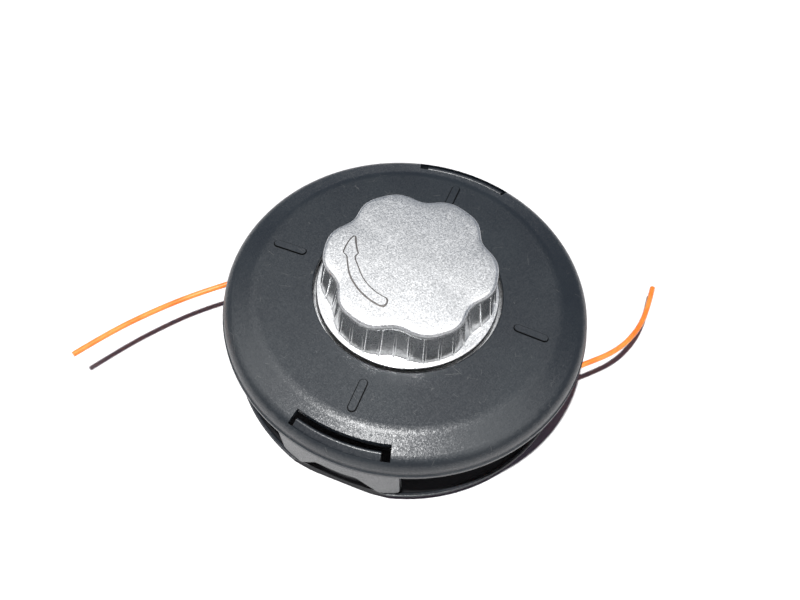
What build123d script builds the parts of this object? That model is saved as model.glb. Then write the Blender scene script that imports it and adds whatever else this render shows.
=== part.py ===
from build123d import *
import math
import os

# Bump-feed trimmer head, knob up, standing on the face that meets the gearbox.
# The origin is on the turning axis in that face. Latches are on Y, line eyelets on X.

# Clearances
running_gap = 0.06
press_gap = 0.05
flat_gap = 0.1
free_gap = 0.35
tooth_gap = 0.4

# Line
line_diameter = 2.4

# Housing dish
rim_radius = 77.5
dish_inset = 2.6
dish_lip_wall = 1.9
dish_lip_height = 5.3
dish_corner = 1.5
dish_taper = 2.4
dish_inner_taper = 1.5
dish_wall = 3.0
foot_height = 2.0
foot_radius = 67.8
foot_width = 3.5
base_boss_radius = 19.0
base_rib_count = 8
base_rib_width = 2.4
base_rib_relief = 0.5
flat_depth = 3.5

# Hub of the housing and its threaded insert
hub_radius = 14.0
hub_bore_radius = 10.5
hub_floor_wall = 3.0
insert_flats = 16.0
insert_length = 20.0
insert_flange_radius = 11.5
insert_flange_height = 2.0
thread_minor_radius = 4.32

# Spring and its washers
wire_diameter = 1.8
spring_turns = 6.5
spring_radius = 16.7
washer_wall = 1.2
washer_radius = 18.8

# Spool
bump_travel = 5.0
tooth_count = 6
tooth_height = 2.0
tooth_depth = 9.0
tooth_width = 13.0
tooth_radius = 52.0
flange_wall = 2.4
flange_radius = 58.0
middle_flange_wall = 2.0
middle_flange_radius = 50.0
chamber_height = 9.2
core_radius = 22.5
core_wall = 3.0
web_wall = 6.3
line_notch_width = 3.4
line_notch_depth = 4.0

# Drive boss on the spool, with the bolt that holds the knob
seat_height = 4.2
seat_radius = 36.0
seat_wall = 3.5
boss_flats = 34.0
boss_height = 10.2
boss_bore_radius = 15.5
boss_top_wall = 4.0
bolt_radius = 4.0
bolt_length = 18.0
bolt_head_flats = 13.0
bolt_head_height = 5.3
bolt_washer_wall = 1.6
bolt_washer_radius = 8.0
hub_top_relief = 0.6

# Bump knob, a hollow casting with six lobes
knob_ring_radius = 42.3
knob_ring_height = 2.0
knob_skirt_radius = 38.5
knob_ledge_proud = 0.2
knob_mean_radius = 33.86
lobe_depth = 2.04
lobe_shape = 0.54
lobe_count = 6
lobe_turn = 41.2
knob_wall_height = 13.0
knob_cap_height = 5.3
knob_cap_proud = 0.25
knob_crown = 2.0
knob_cap_round = 4.6
knob_draft = 2.2
knob_foot_share = 0.72
rib_count = 36
rib_height = 0.8
rib_width = 2.6
knob_cavity_radius = 28.0
knob_roof = 4.5
socket_radius = 22.5
socket_gap = 0.15
knob_boss_radius = 9.0
knob_web_width = 3.0

# Cover
cover_wall = 2.5
ring_play = 2.5
hole_gap = 1.5
shoulder_inset = 12.8
shoulder_drop = 1.15
shoulder_round = 9.0
corner_drop = 7.1
corner_round = 7.0
lip_drop = 16.3
lip_flare = 0.5
bead_height = 2.0
bead_step = 0.4
slot_inner_inset = 7.5
slot_outer_inset = 1.5
slot_half_angle = 16.4
ledge_drop = 10.5
mark_length = 14.5
mark_width = 3.2
mark_height = 0.5
mark_radius = 54.3

# Skirt tabs of the cover, over the latches
tab_half_angle = 19.5
tab_bottom_gap = 1.4
tab_lean = 4.0
tab_wall = 2.1
tab_corner = 5.0
arch_top_round = 3.0
arch_foot_round = 2.0
arch_bottom_half = 13.0
arch_top_half = 6.5
arch_height = 15.3

# Latch arms of the housing
latch_half_angle = 14.2
latch_turn = -0.8
latch_wall = 2.4
latch_foot_inset = 9.9
latch_neck_inset = 6.0
hook_inset = 1.8
hook_sink = 0.6
hook_fall = 1.2

# Eyelets and their posts
post_outer_inset = 4.5
post_depth = 6.0
post_half_width = 9.5
eyelet_offset = 1.7
eyelet_turn = 44.5
eyelet_height = 23.5
eyelet_length = 9.0
eyelet_bore_radius = 1.9
eyelet_wall = 1.3
eyelet_flange = 1.2
eyelet_flange_radius = 4.4
spot_face_radius = 4.8

# Heights that follow, from the floor of the dish to the top of the knob
floor_top = foot_height + dish_wall
dish_lip_top = foot_height + dish_lip_height
stop_top = floor_top + tooth_height
spool_bottom = stop_top + tooth_gap + bump_travel + tooth_height
lower_chamber = spool_bottom + flange_wall
middle_flange = lower_chamber + chamber_height
upper_chamber = middle_flange + middle_flange_wall
top_flange = upper_chamber + chamber_height
spool_top = top_flange + flange_wall
web_bottom = spool_top - web_wall
knob_bottom = spool_top + seat_height
boss_top = spool_top + boss_height
boss_ceiling = boss_top - boss_top_wall
hub_top = boss_ceiling - bump_travel - hub_top_relief
hub_floor = insert_length + hub_floor_wall
ring_top = knob_bottom + knob_ring_height
hole_height = ring_top + ring_play + cover_wall
shoulder_height = hole_height - shoulder_drop
corner_height = hole_height - corner_drop
lip_height = hole_height - lip_drop
ledge_height = hole_height - ledge_drop
knob_ledge = hole_height + knob_ledge_proud
knob_cap = knob_ledge + knob_wall_height

# Radii that follow
dish_radius = rim_radius - dish_inset
shoulder_radius = rim_radius - shoulder_inset
skirt_inner = rim_radius - cover_wall
hole_radius = knob_skirt_radius + hole_gap
slot_inner = rim_radius - slot_inner_inset
slot_outer = rim_radius - slot_outer_inset
post_outer = rim_radius - post_outer_inset
post_inner = post_outer - post_depth
post_half_angle = math.degrees(math.asin(post_half_width / post_outer))
eyelet_radius = (post_inner + post_outer) / 2
eyelet_outer_radius = eyelet_bore_radius + eyelet_wall
spool_bore = hub_radius + running_gap
line_radius = line_diameter / 2

# Straight run of the line from the drum to the eyelet
run_angle = math.radians(eyelet_turn)
run_radius = eyelet_radius * math.sin(run_angle) - eyelet_offset * math.cos(run_angle)
wound_radius = run_radius - line_radius - free_gap

latch_sides = (-90.0, 90.0)
eyelet_sides = (0.0, 180.0)


def turned(points, radii=0.0, arc=360.0):
    """Solid turned about Z from an outline of (radius, height) points."""
    outline = make_face(FilletPolyline(*points, radius=radii, close=True))
    return revolve(Plane.XZ * outline, Axis.Z, revolution_arc=arc)


def sector(points, middle, half, radii=0.0):
    """Part of a turned solid, half degrees to each side of middle."""
    return Rot(Z=middle - half) * turned(points, radii, 2 * half)


def disc(radius, low, high):
    return Pos(0, 0, low) * Cylinder(radius, high - low, align=(Align.CENTER, Align.CENTER, Align.MIN))


def washer(inner, outer, low, high):
    return disc(outer, low, high) - disc(inner, low - 1, high + 1)


def hexagon(flats, low, high):
    outline = RegularPolygon(flats / 2, 6, major_radius=False)
    return extrude(Pos(0, 0, low) * outline, high - low)


def around(count, shape, start=0.0):
    """The shape and its copies, evenly spaced about Z."""
    return [Rot(Z=start + 360.0 * k / count) * shape for k in range(count)]


def cover_under(radius):
    """Height of the cover's inner face on its sloping band."""
    outer_slope = (shoulder_height - corner_height) / (rim_radius - shoulder_radius)
    return corner_height - cover_wall + (rim_radius - radius) * outer_slope


def cover_top(radius):
    return cover_under(radius) + cover_wall


def cover_inner_top(radius):
    """Height of the cover's nearly flat inner field."""
    share = (radius - hole_radius) / (shoulder_radius - hole_radius)
    return hole_height - shoulder_drop * share


def ramp_tooth(low, high, rooted):
    """Ratchet tooth: steep on one side, ramped on the other, sunk into its carrier."""
    half = tooth_width / 2
    root = low - rooted if rooted > 0 else high - rooted
    tip = high if rooted > 0 else low
    heel = low if rooted > 0 else high
    points = [(-half, root), (half, root), (half, tip), (half - 4.0, tip), (-half, heel)]
    outline = make_face(Polyline(*points, close=True))
    plane = Plane(origin=(tooth_radius - tooth_depth / 2, 0, 0), x_dir=(0, 1, 0), z_dir=(1, 0, 0))
    return extrude(plane * outline, tooth_depth)


def eyelet_plane(side):
    """Plane at the middle of an eyelet, with its normal along the line's way out."""
    turn = math.radians(side)
    centre = Vector(eyelet_radius, eyelet_offset, eyelet_height).rotate(Axis.Z, side)
    way = (math.cos(turn + run_angle), math.sin(turn + run_angle), 0)
    return Plane(origin=centre, z_dir=way)


def make_housing():
    """Moulded dish with hub, eyelet posts, latch arms and ratchet stops."""
    foot_in = foot_radius - foot_width / 2
    foot_out = foot_radius + foot_width / 2
    lip_in = dish_radius - dish_lip_wall
    outline = [
        (0, 0),
        (base_boss_radius, 0),
        (base_boss_radius, foot_height),
        (foot_in, foot_height),
        (foot_in, 0),
        (foot_out, 0),
        (foot_out, foot_height),
        (dish_radius - dish_taper, foot_height),
        (dish_radius, dish_lip_top),
        (lip_in, dish_lip_top),
        (lip_in - dish_inner_taper, floor_top),
        (hub_radius, floor_top),
        (hub_radius, hub_top),
        (hub_bore_radius, hub_top),
        (hub_bore_radius, hub_floor),
        (0, hub_floor),
    ]
    radii = [0, 0.5, 0, 0, 0.4, 0.4, 0, dish_corner, 0.5, 0.5, 1.2, 0, 0.8, 0, 2.0, 0]
    housing = turned(outline, radii)

    rib_length = foot_in - base_boss_radius + 2.0
    rib_height = foot_height - base_rib_relief + 0.5
    rib_middle = (foot_in + base_boss_radius) / 2
    rib = Pos(rib_middle, 0, base_rib_relief + rib_height / 2) * Box(rib_length, base_rib_width, rib_height)
    housing += around(base_rib_count, rib, 180.0 / base_rib_count)
    housing += around(tooth_count, ramp_tooth(floor_top, stop_top, 1.0))

    beyond = 10.0
    flat_at = dish_radius - flat_depth
    flat = Pos(flat_at + beyond / 2, 0, dish_lip_top / 2) * Box(beyond, dish_radius, dish_lip_top + 2)
    for side in latch_sides:
        housing -= Rot(Z=side) * flat
        housing += make_latch(side)
    for side in eyelet_sides:
        housing += make_post(side)
    housing -= hexagon(insert_flats + 2 * press_gap, insert_flange_height, insert_length + press_gap)
    housing -= disc(insert_flange_radius + press_gap, -1, insert_flange_height)
    return housing


def make_latch(side):
    """Springy arm that rises inside the cover and hooks over the ledge of its slot."""
    foot_r = rim_radius - latch_foot_inset
    neck_r = rim_radius - latch_neck_inset
    hook_r = rim_radius - hook_inset
    hook_bottom = ledge_height + flat_gap
    top_r = neck_r + 0.7
    outline = [
        (foot_r, floor_top - 1),
        (foot_r + latch_wall, floor_top - 1),
        (neck_r + latch_wall, hook_bottom),
        (hook_r, hook_bottom),
        (hook_r, cover_top(hook_r) - hook_sink - hook_fall),
        (top_r, cover_top(top_r) - hook_sink),
        (neck_r, hook_bottom),
    ]
    return sector(outline, side + latch_turn, latch_half_angle, [0, 0, 0, 0.3, 0.6, 0.9, 0])


def make_post(side):
    """Post that carries an eyelet and props the cover."""
    outline = [
        (post_inner, floor_top - 1),
        (post_outer, floor_top - 1),
        (post_outer, cover_under(post_outer) - flat_gap),
        (post_inner, cover_under(post_inner) - flat_gap),
    ]
    post = sector(outline, side, post_half_angle)
    plane = eyelet_plane(side)
    half = eyelet_length / 2
    seat = half - eyelet_flange
    post -= plane * disc(eyelet_outer_radius + press_gap, -half - 1, half + 1)
    post -= plane * disc(spot_face_radius, seat, seat + 12)
    post -= plane * disc(spot_face_radius, -half - 12, -half)
    return post


def make_eyelet(side):
    """Steel eyelet pressed into its post, flanged at the outer mouth."""
    half = eyelet_length / 2
    seat = half - eyelet_flange
    outline = [
        (eyelet_bore_radius, -half),
        (eyelet_outer_radius, -half),
        (eyelet_outer_radius, seat),
        (eyelet_flange_radius, seat),
        (eyelet_flange_radius, half),
        (eyelet_bore_radius, half),
    ]
    return eyelet_plane(side) * turned(outline, [0.5, 0, 0, 0, 0.4, 0.9])


def make_insert():
    """Steel nut moulded into the hub: left-hand thread, shown at its minor diameter."""
    insert = hexagon(insert_flats, insert_flange_height - 0.5, insert_length)
    insert += disc(insert_flange_radius, 0, insert_flange_height)
    return insert - disc(thread_minor_radius, -1, insert_length + 1)


def make_cover():
    """Domed cover: shell with hole, latch slots, skirt tabs, raised marks and ratchet stops."""
    lip_radius = rim_radius + lip_flare
    inner_shoulder = shoulder_radius - 0.5
    outline = [
        (hole_radius, hole_height),
        (shoulder_radius, shoulder_height),
        (rim_radius, corner_height),
        (lip_radius - bead_step / 4, lip_height + bead_height + bead_step),
        (lip_radius + bead_step, lip_height + bead_height),
        (lip_radius + bead_step, lip_height),
        (lip_radius - tab_wall, lip_height),
        (skirt_inner, cover_under(skirt_inner)),
        (inner_shoulder, cover_under(inner_shoulder)),
        (hole_radius, hole_height - cover_wall),
    ]
    radii = [0.6, shoulder_round, corner_round, 0, 0.2, 0.5, 0.6, 1.5, shoulder_round - cover_wall, 0.3]
    cover = turned(outline, radii)

    stop_low = spool_top + tooth_height + tooth_gap
    stop_high = cover_inner_top(tooth_radius + tooth_depth / 2) - cover_wall
    cover += around(tooth_count, ramp_tooth(stop_low, stop_low + tooth_height, stop_low + tooth_height - stop_high - 1.0))

    slot = [(slot_inner, ledge_height), (slot_outer, ledge_height), (slot_outer, hole_height), (slot_inner, hole_height)]
    for side in latch_sides:
        cover -= sector(slot, side, slot_half_angle)
        cover += make_tab(side)
    cover += around(4, make_mark())
    return cover


def round_across(tab, width, height, radius):
    """Rounds the two corners of a tab at this height and distance from its middle."""
    edges = tab.edges().filter_by(lambda e: abs(e.center().Z - height) < 0.1 and abs(abs(e.center().X) - width) < 0.1)
    return fillet(edges.filter_by(Axis.Y), radius)


def make_tab(side):
    """Skirt tab below the cover's lip, arched between two feet."""
    top = lip_height + 1.2
    bottom = dish_lip_top + tab_bottom_gap
    outer = rim_radius + lip_flare
    shell = [
        (outer - 0.1, top),
        (outer, lip_height),
        (outer - tab_lean, bottom - 1),
        (outer - tab_lean - tab_wall, bottom - 1),
        (outer - tab_wall, lip_height),
        (outer - tab_wall - 0.1, top),
    ]
    wide = rim_radius * math.sin(math.radians(tab_half_angle))
    arch_wide = rim_radius * math.sin(math.radians(arch_bottom_half))
    arch_narrow = rim_radius * math.sin(math.radians(arch_top_half))
    outline = [
        (-wide, top),
        (-wide, bottom),
        (-arch_wide, bottom),
        (-arch_narrow, bottom + arch_height),
        (arch_narrow, bottom + arch_height),
        (arch_wide, bottom),
        (wide, bottom),
        (wide, top),
    ]
    punch = extrude(Plane.XZ * make_face(Polyline(*outline, close=True)), rim_radius + 10)
    tab = sector(shell, -90.0, tab_half_angle + 2) & punch
    tab = round_across(tab, wide, bottom, tab_corner)
    tab = round_across(tab, arch_narrow, bottom + arch_height, arch_top_round)
    tab = round_across(tab, arch_wide, bottom, arch_foot_round)
    return Rot(Z=side + 90.0) * tab


def make_mark():
    """Low raised bar on the cover, set along a radius."""
    fall = math.atan2(shoulder_drop, shoulder_radius - hole_radius)
    top = cover_inner_top(mark_radius) + mark_height
    plane = Plane(origin=(mark_radius, 0, top), x_dir=(math.cos(fall), 0, -math.sin(fall)),
                  z_dir=(math.sin(fall), 0, math.cos(fall)))
    return extrude(plane * SlotOverall(mark_length, mark_width), -(mark_height + 1.0))


def make_spool():
    """Two-chamber spool with ratchet teeth on both sides and a six-sided drive boss."""
    core_in = core_radius - core_wall
    seat_in = seat_radius - seat_wall
    outline = [
        (core_in, spool_bottom),
        (flange_radius, spool_bottom),
        (flange_radius, lower_chamber),
        (core_radius, lower_chamber),
        (core_radius, middle_flange),
        (middle_flange_radius, middle_flange),
        (middle_flange_radius, upper_chamber),
        (core_radius, upper_chamber),
        (core_radius, top_flange),
        (flange_radius, top_flange),
        (flange_radius, spool_top),
        (seat_radius, spool_top),
        (seat_radius, knob_bottom),
        (seat_in, knob_bottom),
        (seat_in, spool_top),
        (spool_bore, spool_top),
        (spool_bore, web_bottom),
        (core_in, web_bottom),
    ]
    radii = [0.5, 0.9, 0.9, 0, 0, 0.8, 0.8, 0, 0, 0.9, 0.9, 0, 0.4, 0.4, 0, 0, 0.4, 0]
    spool = turned(outline, radii)
    boss = hexagon(boss_flats, spool_top - 1, boss_top)
    boss -= disc(boss_bore_radius, spool_top, boss_ceiling)
    boss -= disc(spool_bore, spool_top - 2, spool_top + 1)
    boss -= disc(bolt_radius + press_gap, boss_ceiling - 1, boss_top + 1)
    spool += boss
    spool += around(tooth_count, ramp_tooth(spool_top, spool_top + tooth_height, 1.0), 30.0)
    spool += around(tooth_count, ramp_tooth(spool_bottom - tooth_height, spool_bottom, -1.0), 30.0)
    notch = Box(2 * line_notch_depth, line_notch_width, flange_wall + 2)
    for height in (spool_bottom + flange_wall / 2, spool_top - flange_wall / 2):
        spool -= around(2, Pos(flange_radius, 0, height) * notch)
    return spool


def make_wound(low):
    """Line wound in one chamber, one solid whose outer face shows its rows."""
    rows = int(chamber_height // line_diameter)
    inner = core_radius + press_gap
    base = wound_radius - line_radius
    coil = washer(inner, base, low + flat_gap, low + chamber_height - flat_gap)
    pitch = (chamber_height - 2 * flat_gap - line_diameter) / max(rows - 1, 1)
    for row in range(rows):
        height = low + flat_gap + line_radius + row * pitch
        coil += Pos(0, 0, height) * Torus(base, line_radius)
    return coil


def lobed_radius(angle, share):
    """Outline of the knob in degrees about Z, with a share of the full depth of its lobes."""
    turn = math.radians(angle - lobe_turn)
    lobe = lobe_depth * math.cos(lobe_count * turn) + lobe_shape * math.cos(2 * lobe_count * turn)
    return knob_mean_radius - share * lobe


def lobed_point(angle, share, add, height):
    turn = math.radians(angle)
    radius = lobed_radius(angle, share) + add
    return (radius * math.cos(turn), radius * math.sin(turn), height)


def ribbed_outline(share, add, height):
    """Closed outline of the knob's side wall: the lobes with upright cast ribs on them."""
    pitch = 360.0 / rib_count
    crest = math.degrees(rib_width / 2 / knob_mean_radius) * 0.55
    foot = math.degrees(rib_width / 2 / knob_mean_radius)
    points = []
    for rib in range(rib_count):
        middle = lobe_turn + rib * pitch
        points.append(lobed_point(middle - foot, share, add - rib_height, height))
        points.append(lobed_point(middle - crest, share, add, height))
        points.append(lobed_point(middle + crest, share, add, height))
        points.append(lobed_point(middle + foot, share, add - rib_height, height))
    return Wire(Polyline(*points, close=True).edges())


def make_knob():
    """Cast knob: base ring kept under the cover, ledge, ribbed wall and rounded lobed cap."""
    skirt = [
        (0, knob_bottom),
        (knob_ring_radius, knob_bottom),
        (knob_ring_radius, ring_top),
        (knob_skirt_radius, ring_top),
        (knob_skirt_radius, knob_ledge),
        (0, knob_ledge),
    ]
    knob = turned(skirt, [0, 0.4, 0.5, 0, 0.8, 0])
    wall_top = knob_cap + knob_cap_height / 4
    wall_foot = ribbed_outline(knob_foot_share, knob_draft, knob_ledge - 0.5)
    wall = Solid.make_loft([wall_foot, ribbed_outline(1.0, 0.0, wall_top)], True)

    step = 360.0 / (lobe_count * 8)
    edge = Spline(*[lobed_point(step * k, 1.0, knob_cap_proud, knob_cap) for k in range(lobe_count * 8)], periodic=True)
    cap = extrude(make_face(edge), knob_cap_height + knob_crown)
    dome_radius = (knob_mean_radius ** 2 + knob_crown ** 2) / (2 * knob_crown)
    dome_centre = knob_cap + knob_cap_height + knob_crown - dome_radius
    cap &= Pos(0, 0, dome_centre) * Sphere(dome_radius)
    upper = cap.edges().filter_by(lambda e: e.center().Z > knob_cap + 1)
    knob += wall
    knob += fillet(upper, knob_cap_round)

    roof = knob_cap + knob_cap_height - knob_roof
    seat_in = seat_radius - seat_wall
    socket_depth = boss_height - seat_height + socket_gap
    cavity = turned([(0, knob_bottom - 1), (seat_in, knob_bottom - 1), (knob_cavity_radius, knob_ledge),
                     (knob_cavity_radius, roof), (0, roof)], [0, 0, 2.0, 4.0, 0])
    core = disc(socket_radius, knob_bottom, knob_bottom + socket_depth + 3.0)
    core += disc(knob_boss_radius, knob_bottom, roof + 1)
    web_low = knob_bottom + socket_depth
    web = Box(knob_cavity_radius + 1, knob_web_width, roof - web_low + 1)
    web = Pos(knob_cavity_radius / 2 + 1, 0, (web_low + roof) / 2 + 0.5) * web
    core += around(lobe_count, web, lobe_turn)
    knob -= cavity - core
    knob -= hexagon(boss_flats + 2 * socket_gap, knob_bottom - 1, knob_bottom + socket_depth)
    bolt_hole = boss_ceiling - bolt_washer_wall + bolt_length + 1.0
    knob -= disc(bolt_radius + press_gap, knob_bottom, bolt_hole)
    return knob


def make_bolt():
    seat = boss_ceiling - bolt_washer_wall
    return hexagon(bolt_head_flats, seat - bolt_head_height, seat) + disc(bolt_radius, seat - 0.5, seat + bolt_length)


def make_spring():
    """Open coil spring between the two steel washers."""
    wire_radius = wire_diameter / 2
    low = floor_top + washer_wall + wire_radius
    high = web_bottom - flat_gap - washer_wall - wire_radius
    path = Helix((high - low) / spring_turns, high - low, spring_radius)
    start = Plane(origin=path @ 0, z_dir=path % 0)
    coil = sweep(start * Circle(wire_radius), path=path, is_frenet=True)
    return Pos(0, 0, low) * coil


# Line routes, from the drum through the eyelet to the free end
lead_low = (lower_chamber + line_radius + middle_flange - bump_travel - line_radius) / 2
lead_high = (upper_chamber + line_radius + top_flange - bump_travel - line_radius) / 2
left_end = [(-94.9, -26.2, 22.6), (-105.7, -41.2, 23.8), (-115.0, -56.2, 24.8), (-122.9, -71.4, 25.2)]
right_end = [(91.8, 25.3, 21.6), (97.8, 40.3, 19.4), (99.7, 55.7, 17.0), (99.2, 69.9, 15.0)]
wrap_reach = 8.0
drop_start = 23.0
drop_end = 43.5
run_end = 66.5


def lead_points(side, height):
    """Route from the side of the drum, straight through the eyelet and just outside it."""
    way = Vector(math.cos(run_angle), math.sin(run_angle), 0)
    out = Vector(math.sin(run_angle), -math.cos(run_angle), 0)
    wrap = 2 * math.degrees(math.atan(wrap_reach / run_radius))
    touch = out * run_radius
    second = touch - way * wrap_reach
    first = second - way.rotate(Axis.Z, -wrap) * (2 * wrap_reach)
    points = [first, second, touch + way * drop_start, touch + way * drop_end, touch + way * run_end]
    heights = [height, height, height, eyelet_height, eyelet_height]
    return [Vector(p.X, p.Y, z).rotate(Axis.Z, side) for p, z in zip(points, heights)]


def make_line(name, points):
    """Tube of the line: straight runs joined by tangent arcs."""
    points = [Vector(p) for p in points]
    radii = []
    for before, here, after in zip(points, points[1:], points[2:]):
        turn = (here - before).get_angle(after - here)
        shorter = min((here - before).length, (after - here).length)
        radii.append(0.45 * shorter / math.tan(math.radians(turn / 2)))
    path = FilletPolyline(*points, radius=radii)
    start = Plane(origin=path @ 0, z_dir=path % 0)
    tube = sweep(start * Circle(line_radius), path=path)
    section = math.pi * line_radius ** 2 * path.length
    print(name, "length", round(path.length, 1), "volume", round(tube.volume, 1), "of", round(section, 1))
    print(name, "bend radii", [round(r, 1) for r in radii])
    return tube


thrust_height = web_bottom - flat_gap

parts = {
    "housing": make_housing(),
    "drive_insert": make_insert(),
    "eyelet_left": make_eyelet(180.0),
    "eyelet_right": make_eyelet(0.0),
    "cover": make_cover(),
    "spring_seat": washer(hub_radius + free_gap, washer_radius, floor_top, floor_top + washer_wall),
    "bump_spring": make_spring(),
    "thrust_washer": washer(hub_radius + free_gap, washer_radius, thrust_height - washer_wall, thrust_height),
    "spool": make_spool(),
    "wound_line_lower": make_wound(lower_chamber),
    "wound_line_upper": make_wound(upper_chamber),
    "bump_knob": make_knob(),
    "knob_bolt": make_bolt(),
    "knob_bolt_washer": washer(bolt_radius + press_gap, bolt_washer_radius, boss_ceiling - bolt_washer_wall, boss_ceiling),
    "line_left": make_line("line_left", lead_points(180.0, lead_low) + left_end),
    "line_right": make_line("line_right", lead_points(0.0, lead_high) + right_end),
}

os.makedirs("parts", exist_ok=True)
for name, shape in parts.items():
    export_step(shape, f"parts/{name}.step")
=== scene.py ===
import bpy
import bmesh
import math
from mathutils import Matrix, Vector


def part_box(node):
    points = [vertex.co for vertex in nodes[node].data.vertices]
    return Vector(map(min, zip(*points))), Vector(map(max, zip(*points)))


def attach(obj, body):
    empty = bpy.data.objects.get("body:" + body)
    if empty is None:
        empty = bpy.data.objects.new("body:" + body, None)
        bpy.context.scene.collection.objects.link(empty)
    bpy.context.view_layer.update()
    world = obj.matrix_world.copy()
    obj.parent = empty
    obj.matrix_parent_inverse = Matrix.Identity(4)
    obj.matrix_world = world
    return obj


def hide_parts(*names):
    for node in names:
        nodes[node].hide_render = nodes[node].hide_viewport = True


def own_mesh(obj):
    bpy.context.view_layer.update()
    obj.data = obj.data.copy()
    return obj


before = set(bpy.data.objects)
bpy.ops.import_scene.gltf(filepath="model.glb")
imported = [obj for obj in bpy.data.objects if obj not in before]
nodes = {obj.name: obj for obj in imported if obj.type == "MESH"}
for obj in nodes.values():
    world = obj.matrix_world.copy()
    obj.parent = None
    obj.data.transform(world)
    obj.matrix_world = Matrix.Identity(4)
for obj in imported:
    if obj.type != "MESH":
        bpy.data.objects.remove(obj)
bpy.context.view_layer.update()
mm = 0.001

# Camera, where the photograph was taken from
picture_width = 800
focal_pixels = 950.0
sensor_width = 36.0
camera_azimuth = math.radians(17.0)
camera_elevation = math.radians(56.554)
camera_roll = math.radians(5.4306)
camera_distance = 405.8 * mm
camera_aim = Vector((-2.77, -1.02, 41.8)) * mm

# Lamp, above and in front, as the shadows tell
lamp_place = Vector((-11.0, -411.0, 1268.0)) * mm
lamp_size = 40.0 * mm
lamp_power = 26.0
floor_size = 6.0

# Mirrored sky, by the Y (to the back) and Z (up) of its direction: a bright ceiling that leans to the front,
# dim behind, low in front and right overhead, over a darker room
ceiling_behind = (0.74, 0.0)
ceiling_in_front = (-0.65, -0.35)
ceiling_overhead = (0.985, 0.93)
overhead_share = 0.3
ceiling_lean = 0.35
ceiling_foot = (0.30, 0.60)
ceiling_bright = (2.5, 2.5, 2.5, 1.0)
ceiling_dim = (0.50, 0.51, 0.53, 1.0)
room_front = (0.30, 0.27, 0.25, 1.0)
room_back = (0.22, 0.25, 0.30, 1.0)
fill_light = (0.045, 0.032, 0.055, 1.0)
white = (1.0, 1.0, 1.0, 1.0)

# Cutting line, wound from its first turn outward
line_radius = 1.2 * mm
first_turn_radius = 23.7 * mm
line_layers = 10

# Knob casting: ring, skirt, ledge, a lobed wall that sinks in below the cap and leans out to its foot, domed cap.
# The lobes are two waves round the axis, and the foot of the wall has a share of them.
knob_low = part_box("bump_knob")[0].z
knob_ring_radius = 42.3 * mm
knob_ring_top = knob_low + 2.0 * mm
knob_skirt_radius = 38.5 * mm
knob_ledge = knob_low + 7.2 * mm
knob_cap = knob_ledge + 16.2 * mm
knob_top = knob_ledge + 21.0 * mm
knob_crown = 1.2 * mm
knob_radius = 33.86 * mm
lobe_count = 6
lobe_depth = 2.04 * mm
lobe_shape = 0.54 * mm
lobe_turn = math.radians(41.2)
cap_proud = 0.35 * mm
cap_round = 2.0 * mm
wall_sink = 0.7 * mm
wall_draft = 2.2 * mm
foot_share = 0.72
rib_count = 36
rib_radius = 0.8 * mm
lobe_share_scale = 0.1 * mm

# Hollow under the knob, with its boss, webs and six-sided socket
hollow_mouth_radius = 32.5 * mm
hollow_radius = 28.0 * mm
hollow_roof = knob_ledge + 13.8 * mm
hollow_round = 2 * mm
knob_boss_radius = 9 * mm
web_half_width = 1.5 * mm
socket_half_width = 17.15 * mm
socket_roof = knob_low + 6.15 * mm
socket_wall_radius = 22.5 * mm
socket_wall_top = knob_low + 9.15 * mm
bolt_hole_radius = 4.05 * mm
bolt_hole_top = knob_low + 19.4 * mm

# Arrow on the knob, along an arc round the axis, in degrees and millimetres, in a groove of its own
arrow_radius = 23.0
arrow_middle = -139.8
arrow_half_span = 44.8
arrow_turn = 1.3
arrow_shift = 0.45
groove_width = 0.6
groove_depth = 0.35 * mm
arrow_height = 0.45 * mm

# Drive insert
insert_half_width = 8.0 * mm
insert_flange_top = 2 * mm
insert_edge = 0.3 * mm
thread_minor_radius = 4.32 * mm
thread_depth = 0.66 * mm
thread_pitch = 1.25 * mm
thread_mouth = 1.4 * mm
thread_mouth_depth = thread_depth + 0.4 * mm

# Bump spring
spring_radius = 16.7 * mm
spring_turns = 6.5
spring_wire_radius = 0.9 * mm

# Lip of the dish, below which the housing is dull and painted dark as shade
dish_lip_height = 6.9 * mm

# Raised bars on the cover
bar_middle = 54.3 * mm
bar_run = 11.3 * mm
bar_half_width = 1.6 * mm


class Maker:
    """Builds one node tree, for a material or for geometry, one call for each node."""

    def __init__(self, tree):
        self.tree = tree

    def add(self, kind, inputs=None, **settings):
        node = self.tree.nodes.new(kind)
        for key, value in settings.items():
            setattr(node, key, value)
        for key, value in (inputs or {}).items():
            self.join(value, node.inputs[key])
        return node

    def join(self, value, socket):
        if isinstance(value, bpy.types.NodeSocket):
            self.tree.links.new(value, socket)
        else:
            socket.default_value = value

    def calc(self, operation, *values):
        node = self.add("ShaderNodeMath", operation=operation)
        for value, socket in zip(values, node.inputs):
            self.join(value, socket)
        return node.outputs[0]


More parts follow.
